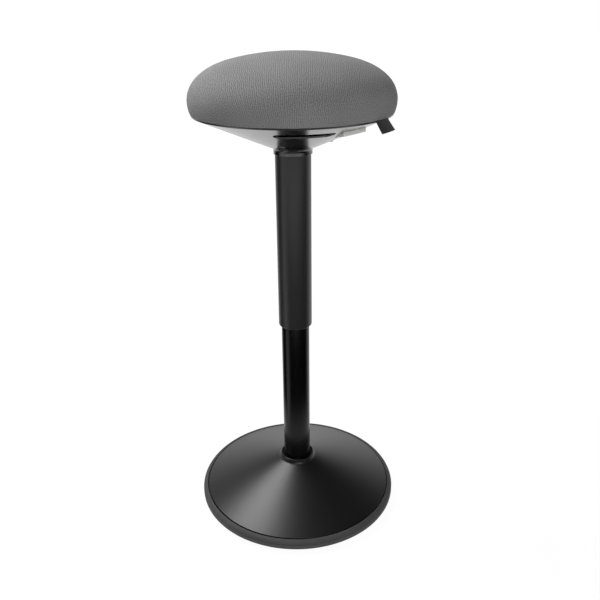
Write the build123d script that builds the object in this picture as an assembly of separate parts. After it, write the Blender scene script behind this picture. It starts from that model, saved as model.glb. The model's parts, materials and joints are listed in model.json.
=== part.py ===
from build123d import *
import os
from math import asin, atan2, cos, degrees, hypot, radians, sin, tan

# Millimetres. The origin is on the floor under the column and +Z runs up the column.
# The front of the stool faces -Y. A bearing is an angle in degrees from the front towards +X.
# The column stands fully out, with the seat at its highest.

# Fits
fit_gap = 0.05               # between pieces pressed or fastened together
running_gap = 0.06           # radial play of sliding and turning pieces
clear_gap = 0.3              # between pieces that pass without touching

# Base
base_radius = 190.0
sole_flat_radius = 110.0     # the part of the sole that lies flat on the floor
sole_rim_height = 9.2        # underside of the sole's rim above the floor
sole_rim_thickness = 2.3
ring_overhang = 3.0          # edge ring outside the sole
ring_shoulder = 8.0          # round at the ring's top edge
ring_foot_round = 2.3        # round at the ring's bottom edge
ring_top_land = 1.7          # flat between the ring's round and the cover's seam
ring_rise = 14.5             # ring's top above the sole's rim
groove_drop = 6.5            # parting groove below the ring's top
groove_width = 0.8
groove_depth = 0.8
weight_edge = 18.0           # from the ring's outside to the weight's edge
weight_thickness = 8.0
sole_screw_circle = 86.0
sole_screw_count = 6
sole_screw_radius = 2.5
sole_screw_head = 5.5
sole_screw_head_height = 3.0
sole_screw_sink = 4.0        # head's depth in the sole
sole_screw_grip = 5.5        # thread in the weight
drive_depth = 1.5            # hexagon sockets in screw heads

# Base cover and hub
cover_sheet = 1.5
cover_slope = 19.7           # degrees from level
cover_bend = 5.0             # outside bend where the cone turns up
neck_rise = 6.9              # neck above the point where the cone would meet it
neck_round = 1.2
hub_wall = 4.6
hub_sink = 1.0               # hub below the neck's top
hub_flange_radius = 62.0
hub_flange_thickness = 6.0
hub_bolt_circle = 47.0
hub_bolt_count = 4
hub_bolt_radius = 4.0
hub_bolt_head = 7.5
hub_bolt_head_height = 5.0
hub_bolt_grip = 6.5

# Column
lower_tube_radius = 25.4
lower_tube_wall = 1.6
cover_tube_radius = 30.15
cover_tube_wall = 1.5
cover_tube_round = 2.6       # rolled-in lower end
travel = 260.0
parking_gap = 23.1           # cover tube above the base neck with the seat down
cover_overlap = 56.8         # cover tube over the lower tube with the seat up
wear_ring_height = 20.0
bush_length = 90.0
bush_flange = 3.0
bush_top_gap = 3.0           # between bush and plug with the seat down

# Swivel bearing at the foot of the rod
tube_foot_gap = 1.5          # lower tube above the sole
floor_depth = 12.0           # tube floor above the tube's lower end
floor_thickness = 6.0
rod_radius = 5.0
rod_tail = 4.0               # rod below the clip
clip_thickness = 1.5
clip_radius = 8.0
clip_groove_depth = 1.0
clip_mouth = 6.0
rod_washer_radius = 12.0
rod_washer_thickness = 1.5
race_radius = 16.0
race_thickness = 1.5
ball_radius = 2.5
ball_circle = 11.0
ball_count = 8
ball_gap = 0.05
cage_thickness = 3.0
cage_width = 6.6
rod_collar_radius = 8.0
rod_collar_height = 3.0
buffer_radius = 12.0
buffer_height = 18.0
buffer_gap = 1.0             # cylinder above the buffer with the seat down

# Gas lift
cylinder_radius = 14.0
cylinder_wall = 1.5
cylinder_lip = 2.0
cylinder_taper = 0.8         # less radius at the cylinder's top end
cylinder_end = 30.0          # solid end that guides the valve pin
guide_height = 12.0
seal_height = 4.0
piston_gap = 2.0             # piston above the seal with the seat up
piston_height = 12.0
piston_seal_section = 1.5
valve_pin_radius = 3.0
valve_pin_length = 33.0
valve_pin_rise = 4.2         # pin above the cylinder's end
valve_gap = 0.4              # pin below the lever arm

# Seat shell
shell_wall = 2.2
collar_gap = 0.15
collar_grip = 20.0           # shell collar below the cover tube's top
collar_length = 9.3
collar_bend = 6.0
shell_slope = 23.35          # degrees from level
rim_radius = 162.5
rim_edge = 2.0
rim_land = 8.0
grip_radius = 125.8
grip_width = 21.4
grip_start = -12.7           # bearings of the grip slot's ends
grip_end = 30.3
plug_depth = 9.0
plug_flange = 4.0
plug_screw_count = 3
plug_screw_radius = 1.5
plug_screw_head = 2.6
plug_screw_head_height = 1.0
plug_screw_length = 8.0

# Seat plate, socket and fasteners
plate_radius = 70.0
plate_thickness = 3.0
socket_radius = 20.0
socket_mouth = 15.0          # wide bore above the cylinder
plate_bolt_circle = 55.0
plate_bolt_count = 4
plate_bolt_bearing = 95.0
plate_bolt_radius = 3.0
plate_bolt_head = 5.8
plate_bolt_head_height = 4.0
tee_nut_radius = 4.2
tee_nut_flange = 9.0
tee_nut_flange_thickness = 1.5
tee_nut_length = 9.0
shell_screw_circle = 60.0
shell_screw_count = 4
shell_screw_bearing = 75.0
shell_screw_radius = 2.0
shell_screw_head = 4.2
shell_screw_head_height = 3.0
boss_radius = 7.5
boss_bore = 4.8
boss_floor = 14.0            # solid end of a boss

# Release lever
lever_bearing = 45.5
lever_lift = 4.0             # degrees
lever_pivot = 45.0           # from the column's axis
lever_pin_radius = 2.0
arm_knuckle = 3.6            # round of the arm at its pivot
arm_headroom = 3.0           # arm below the seat plate
arm_thickness = 5.0
arm_width = 16.0
arm_tail = 6.0               # arm past the column's axis
arm_reach = 124.0
slot_play = 2.0              # socket slot beside and under the arm
bracket_length = 14.0
bracket_wall = 3.0
bracket_web = 1.5
bracket_play = 1.0
bracket_lip = 5.5            # bracket below the pivot
paddle_reach = 133.5         # middle of the paddle's outer end
paddle_turn = 10.0           # degrees, paddle turned towards the front
paddle_length = 28.0
paddle_width = 43.5          # at the outer end
paddle_taper = 8.0           # degrees, each side
paddle_hang = 6.8            # paddle's outer end below the shell
paddle_round = 3.0
paddle_edge = 1.2
window_play = 2.0
paddle_screw_spacing = 9.0
paddle_screw_edge = 5.0      # from the arm's outer end
paddle_screw_radius = 2.0
paddle_screw_head = 3.8
paddle_screw_head_height = 2.0
paddle_screw_grip = 9.0

# Cushion
cushion_radius = 167.0
cushion_height = 91.3        # crown above the shell's rim
widest_height = 13.5         # widest line above the shell's rim
shoulder_radius = 60.5
fabric = 1.5
board_margin = 13.0          # foam and fabric round the seat board
board_radius = cushion_radius - board_margin
board_thickness = 12.0
hem_width = 28.0
staple_count = 24
staple_length = 10.0
staple_wire = 0.8
staple_inset = 18.0          # from the shell's rim
label_start = 49.2           # bearings of the label's edges
label_end = 62.0
label_length = 21.0
label_swing = 34.0           # degrees from hanging straight
label_thickness = 0.8
label_root = 0.8             # label's top below the rim's top

# Levels and radii worked out from the floor upwards
sole_top = sole_rim_height + sole_rim_thickness
sole_head_top = sole_screw_sink + sole_screw_head_height
ring_top = sole_top + ring_rise
weight_top = sole_top + weight_thickness
hub_flange_top = weight_top + hub_flange_thickness
seam_radius = base_radius - ring_shoulder - ring_top_land
hub_radius = lower_tube_radius + fit_gap + hub_wall
neck_radius = hub_radius + clear_gap + cover_sheet
cover_fall = tan(radians(cover_slope))
neck_foot = ring_top + (seam_radius - neck_radius) * cover_fall
neck_top = neck_foot + neck_rise

tube_bottom = sole_top + tube_foot_gap
tube_top = neck_top + parking_gap + travel + cover_overlap
tube_bore = lower_tube_radius - lower_tube_wall
cover_tube_bottom = tube_top - cover_overlap
cover_bore = cover_tube_radius - cover_tube_wall
floor_bottom = tube_bottom + floor_depth
floor_top = floor_bottom + floor_thickness
race_top = floor_top + race_thickness
ball_level = race_top + ball_gap + ball_radius
upper_race_bottom = ball_level + ball_radius + ball_gap
collar_foot = upper_race_bottom + race_thickness
buffer_bottom = collar_foot + rod_collar_height
buffer_top = buffer_bottom + buffer_height
washer_top = floor_bottom - clear_gap
clip_top = washer_top - rod_washer_thickness
clip_bottom = clip_top - clip_thickness
rod_bottom = clip_bottom - rod_tail

bush_top = tube_top + bush_flange
plug_bottom = bush_top + travel + bush_top_gap
cover_tube_top = plug_bottom + plug_depth
plug_top = cover_tube_top + plug_flange
collar_radius = cover_tube_radius + collar_gap + shell_wall
collar_bottom = cover_tube_top - collar_grip
cone_foot = collar_bottom + collar_length
shell_rise = tan(radians(shell_slope))
shell_skin = shell_wall / cos(radians(shell_slope))
rim_bottom = cone_foot + (rim_radius - collar_radius) * shell_rise
rim_top = rim_bottom + rim_edge

board_bottom = rim_top + fabric
board_top = board_bottom + board_thickness
plate_bottom = board_bottom - plate_thickness
boss_ceiling = plate_bottom - boss_floor
arm_top = plate_bottom - arm_headroom
arm_bottom = arm_top - arm_thickness
pivot_level = (arm_top + arm_bottom) / 2
pin_top = arm_bottom - valve_gap
cylinder_top = pin_top - valve_pin_rise
chamber_top = cylinder_top - cylinder_end
cylinder_bottom = buffer_top + buffer_gap + travel
cylinder_bore = cylinder_radius - cylinder_wall
guide_bottom = cylinder_bottom + cylinder_lip
guide_top = guide_bottom + guide_height
seal_top = guide_top + seal_height
piston_bottom = seal_top + piston_gap
piston_top = piston_bottom + piston_height
piston_radius = cylinder_bore - clear_gap
piston_seal_circle = cylinder_bore - running_gap - piston_seal_section / 2
bracket_width = arm_width + 2 * (bracket_play + bracket_wall)

crown_top = rim_top + cushion_height
widest_level = rim_top + widest_height
upright = (Align.CENTER, Align.CENTER, Align.MIN)


# Shared shapes

def at(radius, level):
    return Vector(radius, 0, level)


def arc(centre, radius, start, end):
    angles = [radians(angle) for angle in (start, (start + end) / 2, end)]
    return ThreePointArc(*[centre + at(radius * cos(angle), radius * sin(angle)) for angle in angles])


def turned(*path, sweep=360):
    """Turn a closed outline of points and arcs about the column's axis."""
    ends = [(step, step) if isinstance(step, Vector) else (step @ 0, step @ 1) for step in path]
    edges = [step for step in path if not isinstance(step, Vector)]
    for (_, tail), (head, _) in zip(ends, ends[1:] + ends[:1]):
        if (head - tail).length > 1e-6:
            edges.append(Line(tail, head))
    return revolve(make_face(edges), Axis.Z, revolution_arc=sweep)


def rod(radius, bottom, top):
    return Pos(0, 0, bottom) * Cylinder(radius, top - bottom, align=upright)


def ring(inner, outer, bottom, top):
    return rod(outer, bottom, top) - rod(inner, bottom, top)


def hexagon(radius, bottom, top):
    return Pos(0, 0, bottom) * extrude(RegularPolygon(radius, 6), top - bottom)


def bar(inner, outer, width, bottom, top):
    """A bar along +X between two radii, centred on the XZ plane."""
    box = Box(outer - inner, width, top - bottom, align=(Align.MIN, Align.CENTER, Align.MIN))
    return Pos(inner, 0, bottom) * box


def towards(bearing):
    """Turn a piece drawn along +X so that it points along a bearing."""
    return Rot(0, 0, bearing - 90)


def spread(piece, circle, count, bearing=0.0):
    """Copies of a piece on a circle, the first at a bearing."""
    return [towards(bearing + turn * 360 / count) * Pos(circle, 0, 0) * piece for turn in range(count)]


def cut_all(body, cutters):
    for cutter in cutters:
        body -= cutter
    return body


def flare(neck, foot, slope, bend, up, wall=0.0):
    """Arc from an upright neck to a cone; with a wall, its inner side, drawn backwards."""
    tilt = radians(slope)
    centre = at(neck + bend, foot + up * bend * (1 / cos(tilt) - tan(tilt)))
    ends = [180, 180 + up * (90 - slope)]
    if wall:
        ends.reverse()
    return arc(centre, bend + wall, *ends)


def shell_level(radius):
    """Height of the seat shell's outside at a radius on its cone."""
    return cone_foot + (radius - collar_radius) * shell_rise


# Base

def rubber_sole():
    radius = base_radius - ring_overhang
    run = radius - sole_flat_radius
    curve = (run ** 2 + sole_rim_height ** 2) / (2 * sole_rim_height)
    underside = arc(at(sole_flat_radius, curve), curve, -90, degrees(asin(run / curve)) - 90)
    body = turned(at(0, 0), underside, at(radius, sole_top), at(0, sole_top))
    hole = rod(sole_screw_radius + fit_gap, 0, sole_top)
    hole += rod(sole_screw_head + fit_gap, 0, sole_head_top)
    return cut_all(body, spread(hole, sole_screw_circle, sole_screw_count))


def sole_screws():
    screw = rod(sole_screw_head, sole_screw_sink, sole_head_top)
    screw += rod(sole_screw_radius, sole_head_top, sole_top + sole_screw_grip)
    screw -= hexagon(sole_screw_radius, sole_screw_sink, sole_screw_sink + drive_depth)
    return spread(screw, sole_screw_circle, sole_screw_count)


def base_weight():
    body = ring(lower_tube_radius + fit_gap, base_radius - weight_edge, sole_top, weight_top)
    thread = rod(hub_bolt_radius + fit_gap, weight_top - hub_bolt_grip - fit_gap, weight_top)
    body = cut_all(body, spread(thread, hub_bolt_circle, hub_bolt_count))
    blind = rod(sole_screw_radius + fit_gap, sole_top, sole_top + sole_screw_grip + fit_gap)
    return cut_all(body, spread(blind, sole_screw_circle, sole_screw_count))


def edge_ring():
    inner = base_radius - weight_edge + fit_gap
    lip = base_radius - ring_overhang + fit_gap
    rebate = seam_radius + fit_gap
    body = turned(
        at(inner, sole_top),
        at(inner, weight_top),
        at(rebate, weight_top),
        at(rebate, ring_top),
        arc(at(base_radius - ring_shoulder, ring_top - ring_shoulder), ring_shoulder, 90, 0),
        arc(at(base_radius - ring_foot_round, sole_rim_height + ring_foot_round), ring_foot_round, 0, -90),
        at(lip, sole_rim_height),
        at(lip, sole_top),
    )
    groove_top = ring_top - groove_drop
    groove_bottom = groove_top - groove_width
    return body - ring(base_radius - groove_depth, base_radius + groove_depth, groove_bottom, groove_top)


def base_cover():
    inside = seam_radius - cover_sheet
    inside_level = ring_top + cover_sheet * cover_fall - cover_sheet / cos(radians(cover_slope))
    return turned(
        at(neck_radius - cover_sheet, neck_top),
        arc(at(neck_radius - neck_round, neck_top - neck_round), neck_round, 90, 0),
        flare(neck_radius, neck_foot, cover_slope, cover_bend, 1),
        at(seam_radius, ring_top),
        at(seam_radius, weight_top),
        at(inside, weight_top),
        at(inside, inside_level),
        flare(neck_radius, neck_foot, cover_slope, cover_bend, 1, cover_sheet),
    )


def hub_socket():
    bore = lower_tube_radius + fit_gap
    body = ring(bore, hub_radius, weight_top, neck_top - hub_sink)
    body += ring(bore, hub_flange_radius, weight_top, hub_flange_top)
    hole = rod(hub_bolt_radius + fit_gap, weight_top, hub_flange_top)
    return cut_all(body, spread(hole, hub_bolt_circle, hub_bolt_count))


def hub_bolts():
    bolt = hexagon(hub_bolt_head, hub_flange_top, hub_flange_top + hub_bolt_head_height)
    bolt += rod(hub_bolt_radius, weight_top - hub_bolt_grip, hub_flange_top)
    return spread(bolt, hub_bolt_circle, hub_bolt_count)


def lower_tube():
    return ring(tube_bore, lower_tube_radius, tube_bottom, tube_top)


def tube_floor():
    return ring(rod_radius + running_gap, tube_bore - fit_gap, floor_bottom, floor_top)


def guide_bush():
    bore = cylinder_radius + running_gap
    body = ring(bore, tube_bore - fit_gap, tube_top - bush_length, tube_top)
    return body + ring(bore, lower_tube_radius - clear_gap, tube_top, bush_top)


def lower_thrust_washer():
    return ring(rod_radius + clear_gap, race_radius, floor_top, race_top)


# Swivel bearing

def ball_cage():
    half = cage_thickness / 2
    inner = ball_circle - cage_width / 2
    body = ring(inner, inner + cage_width, ball_level - half, ball_level + half)
    pocket = rod(ball_radius + ball_gap, ball_level - half, ball_level + half)
    return cut_all(body, spread(pocket, ball_circle, ball_count))


def bearing_balls():
    return spread(Pos(0, 0, ball_level) * Sphere(ball_radius), ball_circle, ball_count)


# Piston rod

def upper_thrust_washer():
    return ring(rod_radius + fit_gap, race_radius, upper_race_bottom, collar_foot)


def piston_rod():
    body = rod(rod_radius, rod_bottom, piston_top)
    body += rod(rod_collar_radius, collar_foot, buffer_bottom)
    groove_floor = rod_radius - clip_groove_depth
    return body - ring(groove_floor, rod_collar_radius, clip_bottom, clip_top)


def rod_washer():
    return ring(rod_radius + fit_gap, rod_washer_radius, clip_top, washer_top)


def retaining_clip():
    body = ring(rod_radius - clip_groove_depth + fit_gap, clip_radius, clip_bottom, clip_top)
    return body - bar(0, 2 * clip_radius, clip_mouth, clip_bottom, clip_top)


def rubber_buffer():
    return ring(rod_radius + fit_gap, buffer_radius, buffer_bottom, buffer_top)


def piston():
    body = ring(rod_radius + fit_gap, piston_radius, piston_bottom, piston_top)
    half = piston_seal_section / 2 + fit_gap
    level = (piston_bottom + piston_top) / 2
    return body - ring(piston_seal_circle - half, cylinder_bore, level - half, level + half)


def piston_seal():
    level = (piston_bottom + piston_top) / 2
    return Pos(0, 0, level) * Torus(piston_seal_circle, piston_seal_section / 2)


# Gas cylinder and cover tube

def gas_cylinder():
    lip = rod_radius + clear_gap
    pin_bore = valve_pin_radius + running_gap
    return turned(
        at(lip, cylinder_bottom),
        at(cylinder_radius, cylinder_bottom),
        at(cylinder_radius, plug_top),
        at(cylinder_radius - cylinder_taper, cylinder_top),
        at(pin_bore, cylinder_top),
        at(pin_bore, chamber_top),
        at(cylinder_bore, chamber_top),
        at(cylinder_bore, guide_bottom),
        at(lip, guide_bottom),
    )


def rod_guide():
    return ring(rod_radius + running_gap, cylinder_bore - fit_gap, guide_bottom, guide_top)


def rod_seal():
    return ring(rod_radius + running_gap, cylinder_bore - fit_gap, guide_top, seal_top)


def valve_pin():
    return rod(valve_pin_radius, pin_top - valve_pin_length, pin_top)


def plug_screw(play):
    """One radial screw along +X, or its hole when it has play."""
    level = (plug_bottom + cover_tube_top) / 2
    start = Pos(cover_tube_radius, 0, level) * Rot(0, -90, 0)
    shank = Cylinder(plug_screw_radius + play, plug_screw_length + play, align=upright)
    head = Cylinder(plug_screw_head + play, plug_screw_head_height + play, align=upright)
    return start * (shank + head)


def plug_screws():
    return spread(plug_screw(0), 0, plug_screw_count)


def cover_tube():
    corner = at(cover_tube_radius - cover_tube_round, cover_tube_bottom + cover_tube_round)
    body = turned(
        at(cover_bore, cover_tube_top),
        at(cover_tube_radius, cover_tube_top),
        arc(corner, cover_tube_round, 0, -90),
        arc(corner, cover_tube_round - cover_tube_wall, -90, 0),
    )
    return cut_all(body, spread(plug_screw(fit_gap), 0, plug_screw_count))


def wear_ring():
    bottom = cover_tube_bottom + cover_tube_round
    return ring(lower_tube_radius + running_gap, cover_bore - fit_gap, bottom, bottom + wear_ring_height)


def cover_plug():
    bore = cylinder_radius + fit_gap
    body = ring(bore, cover_bore - fit_gap, plug_bottom, cover_tube_top)
    body += ring(bore, cover_tube_radius, cover_tube_top, plug_top)
    return cut_all(body, spread(plug_screw(fit_gap), 0, plug_screw_count))


# Seat structure

def taper_socket():
    body = turned(
        at(cylinder_radius + fit_gap, plug_top),
        at(socket_radius, plug_top),
        at(socket_radius, plate_bottom),
        at(socket_mouth, plate_bottom),
        at(socket_mouth, cylinder_top),
        at(cylinder_radius - cylinder_taper + fit_gap, cylinder_top),
    )
    dip = lever_pivot * tan(radians(lever_lift))
    slot_bottom = arm_bottom - dip - slot_play
    slot = bar(0, 2 * socket_radius, arm_width + 2 * slot_play, slot_bottom, plate_bottom)
    return body - towards(lever_bearing) * slot


def seat_plate():
    body = rod(plate_radius, plate_bottom, board_bottom)
    bolt_hole = rod(plate_bolt_radius + fit_gap, plate_bottom, board_bottom)
    body = cut_all(body, spread(bolt_hole, plate_bolt_circle, plate_bolt_count, plate_bolt_bearing))
    screw_hole = rod(shell_screw_radius + fit_gap, plate_bottom, board_bottom)
    return cut_all(body, spread(screw_hole, shell_screw_circle, shell_screw_count, shell_screw_bearing))


def plate_bolts():
    bolt = hexagon(plate_bolt_head, plate_bottom - plate_bolt_head_height, plate_bottom)
    bolt += rod(plate_bolt_radius, plate_bottom, board_top - tee_nut_flange_thickness)
    return spread(bolt, plate_bolt_circle, plate_bolt_count, plate_bolt_bearing)


def tee_nut(play):
    """One tee nut without its thread, larger all round when it is a hole."""
    flange_bottom = board_top - tee_nut_flange_thickness
    nut = rod(tee_nut_radius + play, board_top - tee_nut_length, board_top)
    return nut + rod(tee_nut_flange + play, flange_bottom, board_top)


def tee_nuts():
    nut = tee_nut(0) - rod(plate_bolt_radius + fit_gap, board_bottom, board_top)
    return spread(nut, plate_bolt_circle, plate_bolt_count, plate_bolt_bearing)


def seat_board():
    body = rod(board_radius, board_bottom, board_top)
    hole = tee_nut(fit_gap) + rod(plate_bolt_radius + fit_gap, board_bottom, board_top)
    return cut_all(body, spread(hole, plate_bolt_circle, plate_bolt_count, plate_bolt_bearing))


def seat_shell():
    land = rim_radius - rim_land
    body = turned(
        at(collar_radius - shell_wall, collar_bottom),
        at(collar_radius, collar_bottom),
        flare(collar_radius, cone_foot, shell_slope, collar_bend, -1),
        at(rim_radius, rim_bottom),
        at(rim_radius, rim_top),
        at(land, rim_top),
        at(land, shell_level(land) + shell_skin),
        flare(collar_radius, cone_foot, shell_slope, collar_bend, -1, shell_wall),
    )
    outside = turned(
        at(collar_radius, cone_foot),
        at(rim_radius, rim_bottom),
        at(rim_radius, collar_bottom),
        at(collar_radius, collar_bottom),
    )
    boss = rod(boss_radius, collar_bottom, plate_bottom)
    for column in spread(boss, shell_screw_circle, shell_screw_count, shell_screw_bearing):
        body += column - outside
    recess = rod(boss_bore, collar_bottom, boss_ceiling)
    recess += rod(shell_screw_radius + fit_gap, boss_ceiling, plate_bottom)
    body = cut_all(body, spread(recess, shell_screw_circle, shell_screw_count, shell_screw_bearing))
    return body - grip_slot() - lever_window()


def grip_slot():
    round_end = degrees(asin(grip_width / 2 / grip_radius))
    start = grip_start + round_end
    span = grip_end - round_end - start
    middle = CenterArc((0, 0), grip_radius, start - 90, span)
    return Pos(0, 0, cone_foot) * extrude(SlotArc(middle, grip_width), rim_top - cone_foot)


def lever_window():
    opening = Pos(0, 0, cone_foot) * extrude(paddle_plan(window_play), rim_bottom - cone_foot)
    return towards(lever_bearing) * paddle_place * opening


def shell_screws():
    screw = rod(shell_screw_head, boss_ceiling - shell_screw_head_height, boss_ceiling)
    screw += rod(shell_screw_radius, boss_ceiling, board_bottom)
    head_bottom = boss_ceiling - shell_screw_head_height
    screw -= hexagon(shell_screw_radius, head_bottom, head_bottom + drive_depth)
    return spread(screw, shell_screw_circle, shell_screw_count, shell_screw_bearing)


# Release lever

def lever_axle(radius, length):
    return Pos(lever_pivot, 0, pivot_level) * Rot(90, 0, 0) * Cylinder(radius, length)


def lever_bracket():
    inner = lever_pivot - bracket_length / 2
    bottom = pivot_level - bracket_lip
    body = bar(inner, inner + bracket_length, bracket_width, bottom, plate_bottom)
    channel = arm_width + 2 * bracket_play
    body -= bar(inner, inner + bracket_length, channel, bottom, plate_bottom - bracket_web)
    return towards(lever_bearing) * (body - lever_axle(lever_pin_radius + fit_gap, bracket_width))


def lever_pin():
    return towards(lever_bearing) * lever_axle(lever_pin_radius, bracket_width)


def paddle_screw_places():
    outer = arm_reach - paddle_screw_edge
    return [outer, outer - paddle_screw_spacing]


def paddle_screw(play):
    """One screw through the arm, larger all round when it is a hole."""
    head = rod(paddle_screw_head + play, arm_top - paddle_screw_head_height - play, arm_top)
    return head + rod(paddle_screw_radius + play, arm_bottom - paddle_screw_grip - play, arm_top)


def paddle_screws():
    socket = hexagon(paddle_screw_radius, arm_top - drive_depth, arm_top)
    return [towards(lever_bearing) * Pos(x, 0, 0) * (paddle_screw(0) - socket) for x in paddle_screw_places()]


def lever_arm():
    body = bar(-arm_tail, arm_reach, arm_width, arm_bottom, arm_top)
    body += lever_axle(arm_knuckle, arm_width)
    body -= lever_axle(lever_pin_radius + running_gap, arm_width)
    body = cut_all(body, [Pos(x, 0, 0) * paddle_screw(fit_gap) for x in paddle_screw_places()])
    return towards(lever_bearing) * body


# The paddle is drawn with the middle of its outer end at the origin, and +X pointing outwards.
paddle_place = Pos(paddle_reach, 0, 0) * Rot(0, 0, -paddle_turn)


def paddle_plan(play):
    """Outline of the paddle from above, wider all round when it is a window."""
    outer = paddle_width / 2
    inner = outer - paddle_length * tan(radians(paddle_taper))
    corners = [(0, outer), (-paddle_length, inner), (-paddle_length, -inner), (0, -outer)]
    outline = make_face(Polyline(*corners, close=True))
    if play:
        outline = offset(outline, play, kind=Kind.INTERSECTION)
    return fillet(outline.vertices(), paddle_round + play)


def under_paddle(x, y, hang):
    """Point of the paddle's underside, a drop below the shell."""
    turn = radians(paddle_turn)
    along = paddle_reach + x * cos(turn) + y * sin(turn)
    across = y * cos(turn) - x * sin(turn)
    return Vector(x, y, shell_level(hypot(along, across)) - hang)


def lever_paddle():
    left = under_paddle(0, -paddle_width / 2, paddle_hang)
    right = under_paddle(0, paddle_width / 2, paddle_hang)
    inner = under_paddle(-paddle_length, 0, 0)
    underside = Plane(left, x_dir=right - left, z_dir=(right - left).cross(inner - left))
    body = Pos(0, 0, cone_foot) * extrude(paddle_plan(0), arm_bottom - cone_foot)
    body = split(body, underside, keep=Keep.TOP)
    body = fillet(body.faces().sort_by(Axis.Z)[0].edges(), paddle_edge)
    body = cut_all(paddle_place * body, [Pos(x, 0, 0) * paddle_screw(fit_gap) for x in paddle_screw_places()])
    return towards(lever_bearing) * body


# Cushion

def cushion(inset, bottom):
    """Solid of the cushion, drawn in by an inset and cut off level at the bottom."""
    height = crown_top - widest_level
    span = cushion_radius - shoulder_radius
    crown_radius = (height ** 2 + span ** 2 - shoulder_radius ** 2) / (2 * (height - shoulder_radius))
    lean = degrees(atan2(crown_radius - height, span))
    tuck = cushion_radius - rim_radius
    tuck_radius = (tuck ** 2 + widest_height ** 2) / (2 * tuck)
    tuck_angle = degrees(asin((bottom - widest_level) / (tuck_radius - inset)))
    return turned(
        at(0, bottom),
        arc(at(0, crown_top - crown_radius), crown_radius - inset, 90, lean),
        arc(at(span, widest_level), shoulder_radius - inset, lean, 0),
        arc(at(cushion_radius - tuck_radius, widest_level), tuck_radius - inset, 0, tuck_angle),
    )


def foam_pad():
    body = cushion(fabric + fit_gap, board_bottom + fit_gap)
    return body - rod(board_radius + fit_gap, board_bottom, board_top + fit_gap)


def seat_cover():
    skin = cushion(0, rim_top) - cushion(fabric, board_bottom)
    return skin - rod(rim_radius - hem_width, rim_top, board_bottom)


def cover_staples():
    staple = bar(-staple_wire / 2, staple_wire / 2, staple_length, rim_top - staple_wire, rim_top)
    return spread(staple, rim_radius - staple_inset, staple_count)


def label_tab():
    swing = radians(label_swing)
    hang = at(sin(swing), -cos(swing)) * label_length
    depth = at(cos(swing), sin(swing)) * label_thickness
    root = at(rim_radius + fit_gap, rim_top - label_root)
    strip = turned(root, root + hang, root + hang + depth, root + depth, sweep=label_end - label_start)
    return towards(label_start) * strip


base = [
    rubber_sole, sole_screws, base_weight, edge_ring, base_cover, hub_socket, hub_bolts,
    lower_tube, tube_floor, guide_bush, lower_thrust_washer,
]
bearing = [ball_cage, bearing_balls]
piston_group = [
    upper_thrust_washer, piston_rod, rod_washer, retaining_clip, rubber_buffer, piston, piston_seal,
]
seat = [
    gas_cylinder, rod_guide, rod_seal, cover_tube, wear_ring, cover_plug, plug_screws, taper_socket,
    seat_plate, plate_bolts, tee_nuts, seat_board, seat_shell, shell_screws, lever_bracket, lever_pin,
    foam_pad, seat_cover, cover_staples, label_tab,
]
lever = [lever_arm, lever_paddle, paddle_screws]
valve = [valve_pin]

os.makedirs("parts", exist_ok=True)
for make in base + bearing + piston_group + seat + lever + valve:
    shape = make()
    pieces = shape if isinstance(shape, list) else [shape]
    solids = [solid for piece in pieces for solid in piece.solids()]
    export_step(Compound(solids), f"parts/{make.__name__}.step")
print("seat height", round(crown_top, 2), "cover tube end", round(cover_tube_bottom, 2))
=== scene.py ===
import json
from math import asin, atan2, cos, degrees, hypot, pi, radians, sin, tan

import bpy
from mathutils import Matrix, Vector


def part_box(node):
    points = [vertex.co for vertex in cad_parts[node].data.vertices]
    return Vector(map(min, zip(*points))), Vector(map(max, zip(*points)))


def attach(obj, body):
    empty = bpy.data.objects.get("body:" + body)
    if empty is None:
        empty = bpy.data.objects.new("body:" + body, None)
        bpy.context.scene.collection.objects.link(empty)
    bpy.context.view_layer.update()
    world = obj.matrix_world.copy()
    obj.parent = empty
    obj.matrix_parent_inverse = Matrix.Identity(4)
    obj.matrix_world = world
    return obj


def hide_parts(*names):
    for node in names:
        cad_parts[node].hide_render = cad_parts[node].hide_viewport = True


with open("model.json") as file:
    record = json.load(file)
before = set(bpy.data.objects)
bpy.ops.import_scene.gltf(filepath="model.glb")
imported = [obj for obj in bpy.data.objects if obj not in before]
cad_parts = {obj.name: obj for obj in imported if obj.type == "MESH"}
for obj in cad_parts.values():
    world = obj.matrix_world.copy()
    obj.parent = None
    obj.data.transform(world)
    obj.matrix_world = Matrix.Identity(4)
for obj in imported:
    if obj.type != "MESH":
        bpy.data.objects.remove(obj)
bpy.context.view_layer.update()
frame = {"nodes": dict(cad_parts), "record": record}
mm = 0.001
scene = bpy.context.scene
print("frame loaded,", len(frame["nodes"]), "nodes")

# A bearing is an angle in degrees from the front (-Y) towards +X, as in the frame.
# An outline is a list of (radius, level) points that is spun about the column.
# Cutters stand out past what they cut by the overcut.
turning = {"sides": 192, "arcSteps": 8, "cornerSteps": 6, "smoothAngle": 32.0, "merge": 0.005 * mm,
           "overcut": 1.0 * mm}


# Modelling helpers

def selectOnly(piece):
    bpy.ops.object.select_all(action="DESELECT")
    piece.select_set(True)
    bpy.context.view_layer.objects.active = piece


def arcLine(centre, radius, start, end, steps=turning["arcSteps"]):
    turns = [radians(start + (end - start) * step / steps) for step in range(steps + 1)]
    return [(centre[0] + radius * cos(turn), centre[1] + radius * sin(turn)) for turn in turns]


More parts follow.
